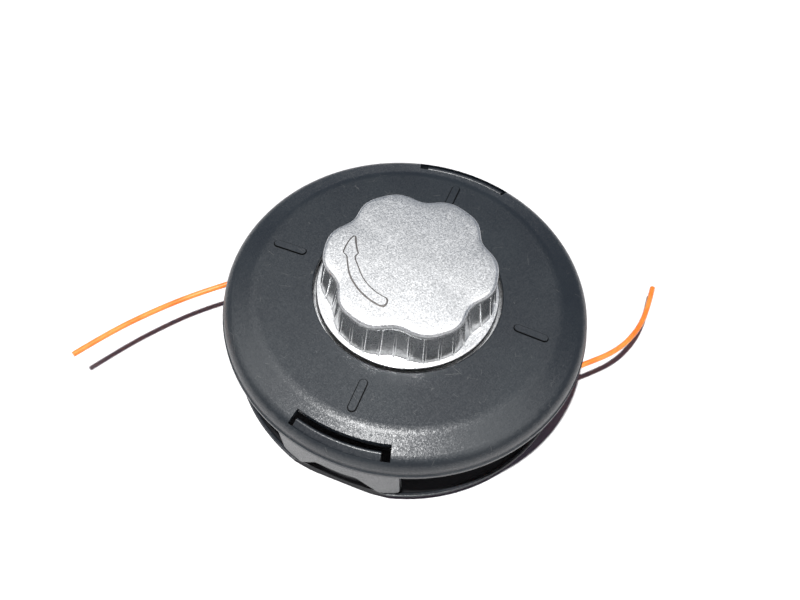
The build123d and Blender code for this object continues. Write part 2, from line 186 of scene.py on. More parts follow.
class ShapeMaker(Maker):
    """A Geometry Nodes tree with named inputs for its sizes."""

    def __init__(self, name):
        super().__init__(bpy.data.node_groups.new(name, "GeometryNodeTree"))
        self.tree.interface.new_socket(name="Geometry", in_out="OUTPUT", socket_type="NodeSocketGeometry")
        self.tree.interface.new_socket(name="Geometry", in_out="INPUT", socket_type="NodeSocketGeometry")
        self.source = self.add("NodeGroupInput")
        self.values = {}

    def size(self, name, value):
        kind = "NodeSocketInt" if isinstance(value, int) else "NodeSocketFloat"
        socket = self.tree.interface.new_socket(name=name, in_out="INPUT", socket_type=kind)
        self.values[socket.identifier] = value
        return self.source.outputs[name]

    def polar(self, radius, turn, height):
        """Place at a radius, a turn round Z and a height."""
        x = self.calc("MULTIPLY", radius, self.calc("COSINE", turn))
        y = self.calc("MULTIPLY", radius, self.calc("SINE", turn))
        return self.add("ShaderNodeCombineXYZ", {0: x, 1: y, 2: height}).outputs[0]

    def tube(self, curve, radius, resolution):
        """Round tube along a curve, closed at both ends."""
        section = self.add("GeometryNodeCurvePrimitiveCircle", {"Resolution": resolution, "Radius": radius}).outputs[0]
        inputs = {"Curve": curve, "Profile Curve": section, "Fill Caps": True}
        return self.add("GeometryNodeCurveToMesh", inputs).outputs[0]

    def finish(self, geometry, material):
        real = self.add("GeometryNodeRealizeInstances", {0: geometry}).outputs[0]
        dressed = self.add("GeometryNodeSetMaterial", {"Geometry": real, "Material": material}).outputs[0]
        self.add("NodeGroupOutput", {0: dressed})


def new_object(name, mesh):
    piece = bpy.data.objects.new(name, mesh)
    bpy.context.scene.collection.objects.link(piece)
    return piece


def settle(piece):
    """Turns a piece and its modifiers into one plain mesh."""
    graph = bpy.context.evaluated_depsgraph_get()
    mesh = bpy.data.meshes.new_from_object(piece.evaluated_get(graph))
    piece.modifiers.clear()
    old = piece.data
    piece.data = mesh
    bpy.data.meshes.remove(old)
    return piece


def grow(piece, maker):
    """Runs a Geometry Nodes tree on a piece and keeps its result."""
    modifier = piece.modifiers.new("shape", "NODES")
    modifier.node_group = maker.tree
    for identifier, value in maker.values.items():
        modifier[identifier] = value
    return settle(piece)


def combine(piece, other, operation):
    """Joins another closed mesh to a piece, or cuts it out, and keeps the finish of both."""
    modifier = piece.modifiers.new("solid", "BOOLEAN")
    modifier.operation = operation
    modifier.solver = "MANIFOLD"
    modifier.material_mode = "TRANSFER"
    modifier.object = other
    settle(piece)
    mesh = other.data
    bpy.data.objects.remove(other)
    bpy.data.meshes.remove(mesh)


def smooth(piece, degrees):
    """Smooth shading, with edges steeper than the angle kept sharp."""
    piece.data.shade_smooth()
    piece.data.set_sharp_from_angle(angle=math.radians(degrees))


def built(name, build):
    """Piece from a closed bmesh, with its faces turned outward."""
    bmesh.ops.recalc_face_normals(build, faces=build.faces)
    mesh = bpy.data.meshes.new(name)
    build.to_mesh(mesh)
    build.free()
    return new_object(name, mesh)


def turned(name, outline, segments=96):
    """Closed mesh turned about Z from a closed outline of (radius, height) points."""
    build = bmesh.new()
    rings = []
    for k in range(segments):
        turn = 2 * math.pi * k / segments
        rings.append([build.verts.new((r * math.cos(turn), r * math.sin(turn), z)) for r, z in outline])
    for ring, following in zip(rings, rings[1:] + rings[:1]):
        for k in range(len(outline)):
            after = (k + 1) % len(outline)
            build.faces.new((ring[k], ring[after], following[after], following[k]))
    bmesh.ops.remove_doubles(build, verts=build.verts, dist=0.001 * mm)
    return built(name, build)


def loft(name, rings):
    """Closed mesh through rings of points, with the first and the last ring as its ends."""
    build = bmesh.new()
    rows = [[build.verts.new(point) for point in ring] for ring in rings]
    build.faces.new(rows[0][::-1])
    build.faces.new(rows[-1])
    for row, following in zip(rows, rows[1:]):
        for k in range(len(row)):
            after = (k + 1) % len(row)
            build.faces.new((row[k], row[after], following[after], following[k]))
    return built(name, build)


def prism(name, outline, low, high):
    """Closed upright mesh from a flat outline of (x, y) points."""
    return loft(name, [[(x, y, height) for x, y in outline] for height in (low, high)])


def cylinder(name, radius, low, high, segments=96):
    return turned(name, [(0, low), (radius, low), (radius, high), (0, high)], segments)


def hexagon(half_width):
    """Corners of a hexagon with a flat towards X, from half its width across flats."""
    corner = half_width / math.cos(math.pi / 6)
    turns = [math.pi * (k + 0.5) / 3 for k in range(6)]
    return [(corner * math.cos(turn), corner * math.sin(turn)) for turn in turns]


# Materials
def new_material(name):
    material = bpy.data.materials.new(name)
    material.use_nodes = True
    maker = Maker(material.node_tree)
    shader = material.node_tree.nodes["Principled BSDF"]
    place = maker.add("ShaderNodeTexCoord").outputs["Object"]
    return material, maker, shader, place


def noise(maker, place, grain, detail=2.0, roughness=0.5):
    """Noise whose features are about grain metres wide."""
    inputs = {"Vector": place, "Scale": 1.0 / grain, "Detail": detail, "Roughness": roughness}
    return maker.add("ShaderNodeTexNoise", inputs).outputs[0]


def band(maker, value, low, high, to_low=0.0, to_high=1.0):
    inputs = {"Value": value, "From Min": low, "From Max": high, "To Min": to_low, "To Max": to_high}
    return maker.add("ShaderNodeMapRange", inputs).outputs[0]


def blend_colours(maker, share, first, second):
    mix = maker.add("ShaderNodeMix", data_type="RGBA")
    maker.join(share, mix.inputs[0])
    maker.join(first, mix.inputs[6])
    maker.join(second, mix.inputs[7])
    return mix.outputs[2]


def bump(maker, height, depth, strength=1.0, below=None):
    inputs = {"Height": height, "Distance": depth, "Strength": strength}
    if below is not None:
        inputs["Normal"] = below
    return maker.add("ShaderNodeBump", inputs).outputs[0]


def glints(maker, place, grain, lean, normal):
    """Normal that leans at random in each small grain, for a sparkling surface."""
    cells = maker.add("ShaderNodeTexVoronoi", {"Vector": place, "Scale": 1.0 / grain})
    centred = maker.add("ShaderNodeVectorMath", {0: cells.outputs["Color"], 1: (0.5, 0.5, 0.5)}, operation="SUBTRACT")
    leaning = maker.add("ShaderNodeVectorMath", {0: centred.outputs[0], "Scale": lean}, operation="SCALE")
    whole = maker.add("ShaderNodeVectorMath", {0: normal, 1: leaning.outputs[0]}, operation="ADD")
    return maker.add("ShaderNodeVectorMath", {0: whole.outputs[0]}, operation="NORMALIZE").outputs[0]


def scratches(maker, place):
    """Thin scuffs, here and there."""
    cells = {"Vector": place, "Scale": 1.0 / (9 * mm)}
    cracks = maker.add("ShaderNodeTexVoronoi", cells, feature="DISTANCE_TO_EDGE")
    thin = maker.calc("LESS_THAN", cracks.outputs["Distance"], 0.010)
    where = maker.calc("GREATER_THAN", noise(maker, place, 6 * mm, 2.0), 0.62)
    return maker.calc("MULTIPLY", thin, where)


def moulded_nylon(name, dark, pale, grain, depth, dust, lean):
    """Black glass-filled nylon with a sparkling spark-eroded mould grain, faint clouds, scuffs and specks of dust."""
    material, maker, shader, place = new_material(name)
    cloud = band(maker, noise(maker, place, 30 * mm, 3.0), 0.35, 0.65)
    colour = blend_colours(maker, cloud, dark, pale)
    fine = noise(maker, place, grain, 3.0, 0.6)
    coarse = noise(maker, place, 4 * grain, 2.0)
    cells = maker.add("ShaderNodeTexVoronoi", {"Vector": place, "Scale": 1.0 / (7.5 * mm)})
    chosen = maker.add("ShaderNodeSeparateColor", {0: cells.outputs["Color"]})
    speck_radius = band(maker, chosen.outputs[0], 1.0 - dust, 1.0, 0.0, 0.045)
    speck = maker.calc("LESS_THAN", cells.outputs["Distance"], speck_radius)
    speck_colour = (0.35, 0.36, 0.35, 1.0)
    scuff_colour = (0.045, 0.048, 0.05, 1.0)
    colour = blend_colours(maker, speck, colour, speck_colour)
    colour = blend_colours(maker, scratches(maker, place), colour, scuff_colour)
    maker.join(colour, shader.inputs["Base Color"])
    maker.join(band(maker, fine, 0.3, 0.7, 0.30, 0.44), shader.inputs["Roughness"])
    shader.inputs["IOR"].default_value = 1.53
    lumps = bump(maker, coarse, depth, 0.4)
    rough = bump(maker, fine, depth, 0.8, lumps)
    maker.join(glints(maker, place, 0.8 * grain, lean, rough), shader.inputs["Normal"])
    return material, maker, shader, place


def paint_crease_shade(maker, shader, place):
    """Painted shade: darkens the colour and lowers the specular level in the thin crease round each of the four raised
    bars.
    """
    spot = maker.add("ShaderNodeSeparateXYZ", {0: place})
    reach_x = maker.calc("ABSOLUTE", spot.outputs[0])
    reach_y = maker.calc("ABSOLUTE", spot.outputs[1])
    along = maker.calc("ABSOLUTE", maker.calc("SUBTRACT", maker.calc("MAXIMUM", reach_x, reach_y), bar_middle))
    along = maker.calc("MAXIMUM", maker.calc("SUBTRACT", along, bar_run / 2), 0.0)
    across = maker.calc("MINIMUM", reach_x, reach_y)
    squares = maker.calc("ADD", maker.calc("MULTIPLY", along, along), maker.calc("MULTIPLY", across, across))
    edge = maker.calc("ABSOLUTE", maker.calc("SUBTRACT", maker.calc("SQRT", squares), bar_half_width + 0.12 * mm))
    open_share = band(maker, edge, 0.10 * mm, 0.34 * mm)
    old = shader.inputs["Base Color"].links[0].from_socket
    # painted shade: near-black colour in the crease round each bar
    maker.join(blend_colours(maker, open_share, (0.001, 0.001, 0.001, 1.0), old), shader.inputs["Base Color"])
    maker.join(band(maker, open_share, 0.0, 1.0, 0.06, 0.5), shader.inputs["Specular IOR Level"])


def roughen_and_shade_below(maker, shader, place, height):
    """Dull outside below a height, as on a dish whose mould isn't polished there, and painted dark there as shade on
    the dish's lower side.
    """
    level = maker.add("ShaderNodeSeparateXYZ", {0: place}).outputs[2]
    below = band(maker, level, height, height - 0.5 * mm)
    roughness, colour = shader.inputs["Roughness"], shader.inputs["Base Color"]
    maker.join(band(maker, below, 0.0, 1.0, roughness.links[0].from_socket, 0.95), roughness)
    # painted shade: near-black colour below the height
    maker.join(blend_colours(maker, below, colour.links[0].from_socket, (0.003, 0.003, 0.005, 1.0)), colour)


def cast_metal(name):
    """Die-cast aluminium, blasted to a sparkling grain on its level faces and its cap, plainer on its walls."""
    material, maker, shader, place = new_material(name)
    cloud = band(maker, noise(maker, place, 14 * mm, 3.0), 0.35, 0.65)
    grain = noise(maker, place, 0.55 * mm, 2.0, 0.6)
    tone = blend_colours(maker, cloud, (0.68, 0.685, 0.69, 1.0), (0.76, 0.765, 0.77, 1.0))
    speckle = band(maker, grain, 0.36, 0.60)
    colour = blend_colours(maker, speckle, (0.50, 0.505, 0.51, 1.0), tone)
    maker.join(colour, shader.inputs["Base Color"])
    shader.inputs["Metallic"].default_value = 1.0
    facing = maker.add("ShaderNodeSeparateXYZ", {0: maker.add("ShaderNodeNewGeometry").outputs["Normal"]}).outputs[2]
    level = maker.add("ShaderNodeSeparateXYZ", {0: place}).outputs[2]
    flat = band(maker, maker.calc("ABSOLUTE", facing), 0.10, 0.55)
    cap = band(maker, level, knob_cap, knob_cap + 0.8 * mm)
    blasted = maker.calc("MAXIMUM", flat, cap)
    roughness = band(maker, grain, 0.3, 0.7, 0.28, 0.44)
    maker.join(band(maker, blasted, 0.0, 1.0, 0.27, roughness), shader.inputs["Roughness"])
    lumps = bump(maker, noise(maker, place, 2.2 * mm, 2.0), 0.05 * mm, 0.5)
    rough = bump(maker, grain, 0.05 * mm, band(maker, blasted, 0.0, 1.0, 0.25, 0.8), lumps)
    lean = band(maker, blasted, 0.0, 1.0, 0.03, 0.12)
    maker.join(glints(maker, place, 0.45 * mm, lean, rough), shader.inputs["Normal"])
    return material


def plain_steel(name, colour, roughness, grain):
    """Plated or drawn steel with fine tool marks round the axis and slight stains."""
    material, maker, shader, place = new_material(name)
    stain = band(maker, noise(maker, place, 3 * mm, 4.0), 0.35, 0.7)
    darker = tuple(0.72 * c for c in colour[:3]) + (1.0,)
    maker.join(blend_colours(maker, stain, darker, colour), shader.inputs["Base Color"])
    shader.inputs["Metallic"].default_value = 1.0
    marks = noise(maker, place, grain, 3.0)
    maker.join(band(maker, marks, 0.3, 0.7, roughness - 0.06, roughness + 0.1), shader.inputs["Roughness"])
    maker.join(bump(maker, marks, 0.01 * mm, 0.6), shader.inputs["Normal"])
    return material


def nylon_line(name):
    """Extruded nylon line, orange and slightly clouded."""
    material, maker, shader, place = new_material(name)
    cloud = band(maker, noise(maker, place, 9 * mm, 2.0), 0.35, 0.65)
    colour = blend_colours(maker, cloud, (0.90, 0.20, 0.022, 1.0), (0.96, 0.30, 0.055, 1.0))
    maker.join(colour, shader.inputs["Base Color"])
    fine = noise(maker, place, 0.5 * mm, 2.0)
    maker.join(band(maker, fine, 0.3, 0.7, 0.28, 0.40), shader.inputs["Roughness"])
    shader.inputs["Subsurface Weight"].default_value = 0.25
    shader.inputs["Subsurface Radius"].default_value = (1.0, 0.5, 0.2)
    shader.inputs["Subsurface Scale"].default_value = 0.8 * mm
    maker.join(bump(maker, fine, 0.01 * mm, 0.5), shader.inputs["Normal"])
    return material


cover_nylon, *cover_parts = moulded_nylon(
    "cover_nylon", dark=(0.006, 0.009, 0.013, 1.0), pale=(0.010, 0.014, 0.018, 1.0),
    grain=0.5 * mm, depth=0.05 * mm, dust=0.05, lean=0.16)
# painted shade in the creases round the cover's raised bars
paint_crease_shade(*cover_parts)
housing_nylon, *housing_parts = moulded_nylon(
    "housing_nylon", dark=(0.007, 0.009, 0.013, 1.0), pale=(0.010, 0.013, 0.017, 1.0),
    grain=0.5 * mm, depth=0.04 * mm, dust=0.03, lean=0.16)
# painted shade on the dish's lower side, below its lip
roughen_and_shade_below(*housing_parts, dish_lip_height)
spool_nylon = moulded_nylon(
    "spool_nylon", dark=(0.010, 0.011, 0.013, 1.0), pale=(0.014, 0.015, 0.017, 1.0),
    grain=0.7 * mm, depth=0.02 * mm, dust=0.0, lean=0.1)[0]
knob_metal = cast_metal("knob_metal")
# painted shade: a dark finish for the faces of the arrow's groove
knob_groove_shade = plain_steel("knob_groove_shade", (0.16, 0.15, 0.145, 1.0), 0.5, 0.3 * mm)
plated_steel = plain_steel("plated_steel", (0.62, 0.60, 0.55, 1.0), 0.32, 0.5 * mm)
bright_steel = plain_steel("bright_steel", (0.66, 0.66, 0.66, 1.0), 0.24, 0.3 * mm)
spring_wire = plain_steel("spring_wire", (0.42, 0.42, 0.42, 1.0), 0.30, 0.4 * mm)
orange_line = nylon_line("orange_line")

finishes = {
    "cover": cover_nylon,
    "housing": housing_nylon,
    "spool": spool_nylon,
    "drive_insert": plated_steel,
    "knob_bolt": plated_steel,
    "eyelet_left": bright_steel,
    "eyelet_right": bright_steel,
    "spring_seat": bright_steel,
    "thrust_washer": bright_steel,
    "knob_bolt_washer": bright_steel,
    "wound_line_lower": orange_line,
    "wound_line_upper": orange_line,
}
for node, material in finishes.items():
    for material_slot in nodes[node].material_slots:
        material_slot.material = material


# Camera
def place_camera():
    level_back = Vector((math.sin(camera_azimuth), -math.cos(camera_azimuth), 0.0)) * math.cos(camera_elevation)
    back = level_back + Vector((0.0, 0.0, math.sin(camera_elevation)))
    level_right = Vector((math.cos(camera_azimuth), math.sin(camera_azimuth), 0.0))
    level_up = back.cross(level_right)
    right = math.cos(camera_roll) * level_right + math.sin(camera_roll) * level_up
    up = back.cross(right)
    camera = bpy.data.objects.new("camera", bpy.data.cameras.new("camera"))
    camera.data.sensor_width = sensor_width
    camera.data.lens = focal_pixels * sensor_width / picture_width
    camera.data.clip_start = 0.01
    turn = Matrix((right, up, back)).transposed().to_4x4()
    camera.matrix_world = Matrix.Translation(camera_aim + camera_distance * back) @ turn
    bpy.context.scene.collection.objects.link(camera)
    bpy.context.scene.camera = camera


place_camera()


# Cutting line, two free ends
def free_line(name, points):
    data = bpy.data.curves.new(name, "CURVE")
    data.dimensions = "3D"
    spline = data.splines.new("NURBS")
    spline.points.add(len(points) - 1)
    for point, place in zip(spline.points, points):
        point.co = (*[c * mm for c in place], 1.0)
    spline.order_u = 3
    spline.use_endpoint_u = True
    spline.resolution_u = 16
    data.bevel_depth = line_radius
    data.bevel_resolution = 6
    data.use_fill_caps = True
    data.materials.append(orange_line)
    piece = bpy.data.objects.new(name, data)
    bpy.context.scene.collection.objects.link(piece)
    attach(piece, "housing_body")
    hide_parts(name.replace("_end", ""))


line_left_points = [
    (-13.4, 46.6, 18.9), (-27.8, 39.7, 18.9), (-49.9, 18.0, 18.9), (-64.6, 3.6, 23.5), (-81.0, -12.5, 23.5),
    (-94.9, -26.2, 22.6), (-105.7, -41.2, 23.8), (-115.0, -56.2, 24.8), (-122.9, -71.4, 25.2),
]
line_right_points = [
    (13.4, -46.6, 30.1), (27.8, -39.7, 30.1), (49.9, -18.0, 30.1), (64.6, -3.6, 23.5), (81.0, 12.5, 23.5),
    (91.8, 25.3, 21.6), (97.8, 40.3, 19.4), (99.7, 55.7, 17.0), (99.2, 69.9, 15.0),
]
free_line("line_left_end", line_left_points)
free_line("line_right_end", line_right_points)


# Line wound on the spool, turn on turn and layer on layer
def wound_line(name, node):
    low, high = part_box(node)
    maker = ShapeMaker(name)
    outer = maker.size("Outer turn", high.x - line_radius)
    inner = maker.size("Inner turn", first_turn_radius)
    layers = maker.size("Layers", line_layers)
    rows = maker.size("Turns in a layer", (high.z - low.z - 2 * line_radius) / (2 * line_radius))
    steps = maker.size("Steps in a turn", 72)
    bottom = maker.size("Lowest turn", low.z + line_radius)
    top = maker.size("Highest turn", high.z - line_radius)
    thick = maker.size("Line radius", line_radius)

    turns = maker.calc("MULTIPLY", rows, layers)
    count = maker.calc("MULTIPLY", turns, steps)
    string = maker.add("GeometryNodeMeshLine", {"Count": count}).outputs[0]
    turn = maker.calc("DIVIDE", maker.add("GeometryNodeInputIndex").outputs[0], steps)
    layer = maker.calc("DIVIDE", turn, rows)
    within = maker.calc("FRACT", layer)
    climbed = maker.calc("ADD", maker.calc("FLOOR", layer), band(maker, within, 0.85, 1.0))
    last = maker.calc("SUBTRACT", layers, 1.0)
    climbed = maker.calc("MINIMUM", climbed, last)
    pitch = maker.calc("DIVIDE", maker.calc("SUBTRACT", outer, inner), last)
    radius = maker.calc("ADD", inner, maker.calc("MULTIPLY", climbed, pitch))
    swing = maker.calc("PINGPONG", layer, 1.0)
    rise = maker.calc("MULTIPLY", swing, maker.calc("SUBTRACT", top, bottom))
    angle = maker.calc("MULTIPLY", turn, 2 * math.pi)
    spot = maker.polar(radius, angle, maker.calc("ADD", bottom, rise))
    string = maker.add("GeometryNodeSetPosition", {"Geometry": string, "Position": spot}).outputs[0]
    curve = maker.add("GeometryNodeMeshToCurve", {0: string}).outputs[0]
    maker.finish(maker.tube(curve, thick, 10), orange_line)
    piece = grow(new_object(name, bpy.data.meshes.new(name)), maker)
    smooth(piece, 60)
    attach(piece, "spool_body")
    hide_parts(node)


wound_line("wound_turns_lower", "wound_line_lower")
wound_line("wound_turns_upper", "wound_line_upper")


# Spring under the spool, a fixed coil riding on the housing
def make_spring():
    low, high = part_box("bump_spring")
    maker = ShapeMaker("spring_coil")
    radius = maker.size("Coil radius", spring_radius)
    turns = maker.size("Turns", spring_turns)
    rise = maker.size("Rise", high.z - low.z - 2 * spring_wire_radius)
    thick = maker.size("Wire radius", spring_wire_radius)
    foot = maker.size("Foot", low.z + spring_wire_radius)
    inputs = {"Resolution": 64, "Rotations": turns, "Start Radius": radius, "End Radius": radius, "Height": rise}
    spiral = maker.add("GeometryNodeCurveSpiral", inputs).outputs[0]
    lift = maker.add("ShaderNodeCombineXYZ", {2: foot}).outputs[0]
    spiral = maker.add("GeometryNodeSetPosition", {"Geometry": spiral, "Offset": lift}).outputs[0]
    maker.finish(maker.tube(spiral, thick, 16), spring_wire)
    spring = grow(new_object("spring_coil", bpy.data.meshes.new("spring_coil")), maker)
    smooth(spring, 60)
    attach(spring, "housing_body")
    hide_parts("bump_spring")
    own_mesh(spring)


make_spring()


# Steel insert with its left-hand drive thread
def thread_core(low, high, segments=48, rows_a_pitch=10):
    """Closed threaded rod, left-hand, with a cone at each mouth, to be cut out of a bore."""
    count = int((high - low) / thread_pitch * rows_a_pitch) + 1
    rings = []
    for row in range(count):
        z = low + (high - low) * row / (count - 1)
        cone = max(z - (high - thread_mouth), low + thread_mouth - z, 0.0)
        ring = []
        for k in range(segments):
            phase = (z / thread_pitch + k / segments) % 1.0
            flank = min(max(4.0 * abs(phase - 0.5) - 0.45, 0.0), 1.0)
            cut = max(thread_depth * flank, min(cone, thread_mouth_depth))
            radius = thread_minor_radius + cut
            turn = 2 * math.pi * k / segments
            ring.append((radius * math.cos(turn), radius * math.sin(turn), z))
        rings.append(ring)
    return loft("thread", rings)


def make_insert():
    low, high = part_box("drive_insert")
    flange = high.x
    flange_outline = [
        (0, low.z), (flange - insert_edge, low.z), (flange, low.z + insert_edge),
        (flange, insert_flange_top - 0.2 * mm), (flange - 0.2 * mm, insert_flange_top), (0, insert_flange_top),
    ]
    insert = turned("threaded_insert", flange_outline)
    nut = prism("nut", hexagon(insert_half_width), insert_flange_top - 0.5 * mm, high.z)
    combine(insert, nut, "UNION")
    combine(insert, thread_core(low.z - 0.5 * mm, high.z + 0.5 * mm), "DIFFERENCE")
    insert.data.materials.clear()
    insert.data.materials.append(plated_steel)
    smooth(insert, 30)
    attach(insert, "housing_body")
    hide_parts("drive_insert")


make_insert()


# Knob casting
def dome_height(radius):
    """Height of the knob's domed top."""
    sphere = (knob_radius ** 2 + knob_crown ** 2) / (2 * knob_crown)
    return knob_top - sphere + math.sqrt(sphere ** 2 - radius ** 2)


def knob_outline():
    """Outline of the casting: (radius at the mean lobe, share of the lobes, height, rounding)."""
    cap_radius = knob_radius + cap_proud
    dome_rows = 14
    points = [
        (0.0, 0.0, knob_low, 0.0),
        (knob_ring_radius, 0.0, knob_low, 0.4 * mm),
        (knob_ring_radius, 0.0, knob_ring_top, 0.5 * mm),
        (knob_skirt_radius, 0.0, knob_ring_top, 0.2 * mm),
        (knob_skirt_radius, 0.0, knob_ledge, 0.9 * mm),
        (knob_radius + wall_draft - wall_sink + 0.9 * mm, foot_share, knob_ledge, 0.0),
        (knob_radius + wall_draft - wall_sink, foot_share, knob_ledge + 0.2 * mm, 0.6 * mm),
        (knob_radius - wall_sink, 1.0, knob_cap - 0.5 * mm, 0.4 * mm),
        (cap_radius, 1.0, knob_cap + 0.6 * mm, 0.6 * mm),
        (cap_radius, 1.0, dome_height(cap_radius), cap_round),
    ]
    for row in range(dome_rows - 1, -1, -1):
        radius = cap_radius * 0.85 * row / (dome_rows - 1)
        points.append((radius, 1.0, dome_height(radius), 0.0))
    return points


def knob_skin(name):
    """The casting's outer skin, grown from its outline, with its ribs as instances on the lobed wall.

    The outline lies in the XZ plane, and its Y carries the share of the lobes at each of its points.
    """
    outline = knob_outline()
    mesh = bpy.data.meshes.new(name)
    corners = [(radius, share * lobe_share_scale, height) for radius, share, height, rounding in outline]
    mesh.from_pydata(corners, [(k, k + 1) for k in range(len(corners) - 1)], [])
    rounding = mesh.attributes.new("rounding", "FLOAT", "POINT")
    for item, point in zip(rounding.data, outline):
        item.value = point[3]
    piece = new_object(name, mesh)

    maker = ShapeMaker("knob_shape")
    columns = maker.size("Columns", 432)
    lobes = maker.size("Lobes", lobe_count)
    depth = maker.size("Lobe depth", lobe_depth)
    shape = maker.size("Lobe shape", lobe_shape)
    start = maker.size("Lobe turn", lobe_turn)
    mean = maker.size("Mean radius", knob_radius)
    ribs = maker.size("Ribs", rib_count)
    rib_size = maker.size("Rib radius", rib_radius)
    rib_low = maker.size("Rib foot", knob_ledge - 0.5 * mm)
    rib_high = maker.size("Rib top", knob_cap + 0.4 * mm)
    draft = maker.size("Draft", wall_draft)
    foot_lobes = maker.size("Lobe share at the foot", foot_share)

    def lobed(turn):
        """Distance of the lobed wall from its mean radius."""
        around = maker.calc("MULTIPLY", maker.calc("SUBTRACT", turn, start), lobes)
        main = maker.calc("MULTIPLY", maker.calc("COSINE", around), depth)
        twice = maker.calc("MULTIPLY", maker.calc("COSINE", maker.calc("MULTIPLY", around, 2.0)), shape)
        return maker.calc("MULTIPLY", maker.calc("ADD", main, twice), -1.0)

    curve = maker.add("GeometryNodeMeshToCurve", {0: maker.source.outputs["Geometry"]}).outputs[0]
    corner = maker.add("GeometryNodeInputNamedAttribute", {"Name": "rounding"}, data_type="FLOAT").outputs[0]
    inputs = {"Curve": curve, "Radius": corner, "Limit Radius": True}
    fillet = maker.add("GeometryNodeFilletCurve", inputs, mode="POLY")
    fillet.inputs["Count"].default_value = 6
    outline_curve = fillet.outputs[0]
    counted = maker.add("GeometryNodeAttributeDomainSize", {0: outline_curve}, component="CURVE")
    rows = counted.outputs["Point Count"]
    edge_columns = maker.calc("ADD", columns, 1.0)
    grid = maker.add("GeometryNodeMeshGrid", {"Vertices X": edge_columns, "Vertices Y": rows}).outputs[0]
    index = maker.add("GeometryNodeInputIndex").outputs[0]
    row = maker.calc("MODULO", index, rows)
    column = maker.calc("FLOOR", maker.calc("DIVIDE", index, rows))
    place = maker.add("GeometryNodeInputPosition").outputs[0]
    inputs = {"Geometry": outline_curve, "Index": row}
    sample = maker.add("GeometryNodeSampleIndex", inputs, data_type="FLOAT_VECTOR")
    maker.join(place, sample.inputs["Value"])
    parts = maker.add("ShaderNodeSeparateXYZ", {0: sample.outputs[0]})
    turn = maker.calc("DIVIDE", maker.calc("MULTIPLY", column, 2 * math.pi), columns)
    share = maker.calc("DIVIDE", parts.outputs[1], lobe_share_scale)
    reach = maker.calc("DIVIDE", maker.calc("MULTIPLY", share, parts.outputs[0]), mean)
    radius = maker.calc("ADD", parts.outputs[0], maker.calc("MULTIPLY", lobed(turn), reach))
    spots = maker.polar(radius, turn, parts.outputs[2])
    skin = maker.add("GeometryNodeSetPosition", {"Geometry": grid, "Position": spots}).outputs[0]
    closed = maker.add("GeometryNodeMergeByDistance", {"Geometry": skin, "Distance": 0.002 * mm}).outputs[0]

    foot = maker.add("ShaderNodeCombineXYZ", {0: draft, 2: rib_low}).outputs[0]
    head = maker.add("ShaderNodeCombineXYZ", {2: rib_high}).outputs[0]
    spine = maker.add("GeometryNodeCurvePrimitiveLine", {"Start": foot, "End": head}).outputs[0]
    spine = maker.add("GeometryNodeResampleCurve", {"Curve": spine, "Count": 33}).outputs[0]
    along = maker.add("GeometryNodeSplineParameter").outputs["Factor"]
    taper = band(maker, along, 0.93, 1.0)
    width = maker.calc("SQRT", maker.calc("SUBTRACT", 1.0001, maker.calc("MULTIPLY", taper, taper)))
    spine = maker.add("GeometryNodeSetCurveRadius", {"Curve": spine, "Radius": width}).outputs[0]
    rod = maker.tube(spine, rib_size, 16)
    points = maker.add("GeometryNodePoints", {"Count": ribs}).outputs[0]
    rib_turn = maker.calc("ADD", maker.calc("DIVIDE", maker.calc("MULTIPLY", index, 2 * math.pi), ribs), start)
    rib_place = maker.calc("SUBTRACT", maker.calc("ADD", mean, lobed(rib_turn)), rib_size)
    inputs = {"Geometry": points, "Position": maker.polar(rib_place, rib_turn, 0.0)}
    points = maker.add("GeometryNodeSetPosition", inputs).outputs[0]
    facing = maker.add("ShaderNodeCombineXYZ", {2: rib_turn}).outputs[0]
    inputs = {"Points": points, "Instance": rod, "Rotation": facing}
    rods = maker.add("GeometryNodeInstanceOnPoints", inputs).outputs[0]
    rods = maker.add("GeometryNodeRealizeInstances", {0: rods}).outputs[0]
    spot = maker.add("ShaderNodeSeparateXYZ", {0: place})
    spot_turn = maker.calc("ARCTAN2", spot.outputs[1], spot.outputs[0])
    down = band(maker, spot.outputs[2], rib_low, rib_high, 1.0, 0.0)
    fade = maker.calc("MULTIPLY", down, maker.calc("SUBTRACT", foot_lobes, 1.0))
    shift = maker.polar(maker.calc("MULTIPLY", lobed(spot_turn), fade), spot_turn, 0.0)
    rods = maker.add("GeometryNodeSetPosition", {"Geometry": rods, "Offset": shift}).outputs[0]
    cast = maker.add("GeometryNodeMeshBoolean", operation="UNION", solver="MANIFOLD")
    maker.join(closed, cast.inputs["Mesh 2"])
    maker.join(rods, cast.inputs["Mesh 2"])
    maker.finish(cast.outputs[0], knob_metal)
    return grow(piece, maker)


def arrow_stations():
    """Rounded tail, stem, neck and head of the arrow: (angle, middle radius, half width)."""
    stations = []
    for k in range(9):
        share = k / 8
        stations.append((-95.0 - 4.5 * share, arrow_radius, 1.85 * math.sqrt(1 - (1 - share) ** 2) + 0.02))
    for k in range(1, 15):
        stations.append((-99.5 - 45.0 * k / 14, arrow_radius + 0.1 * k / 14, 1.85))
    stations += [
        (-151.0, 23.2, 1.6), (-157.0, 23.5, 1.35), (-161.0, 23.7, 1.35), (-163.5, 23.85, 2.1), (-165.2, 23.95, 2.75),
    ]
    for k in range(1, 11):
        share = k / 10
        stations.append((-165.2 - 19.4 * share, 23.95 + 1.0 * share, 2.75 * (1 - share) ** 0.8 + 0.03))
    return stations


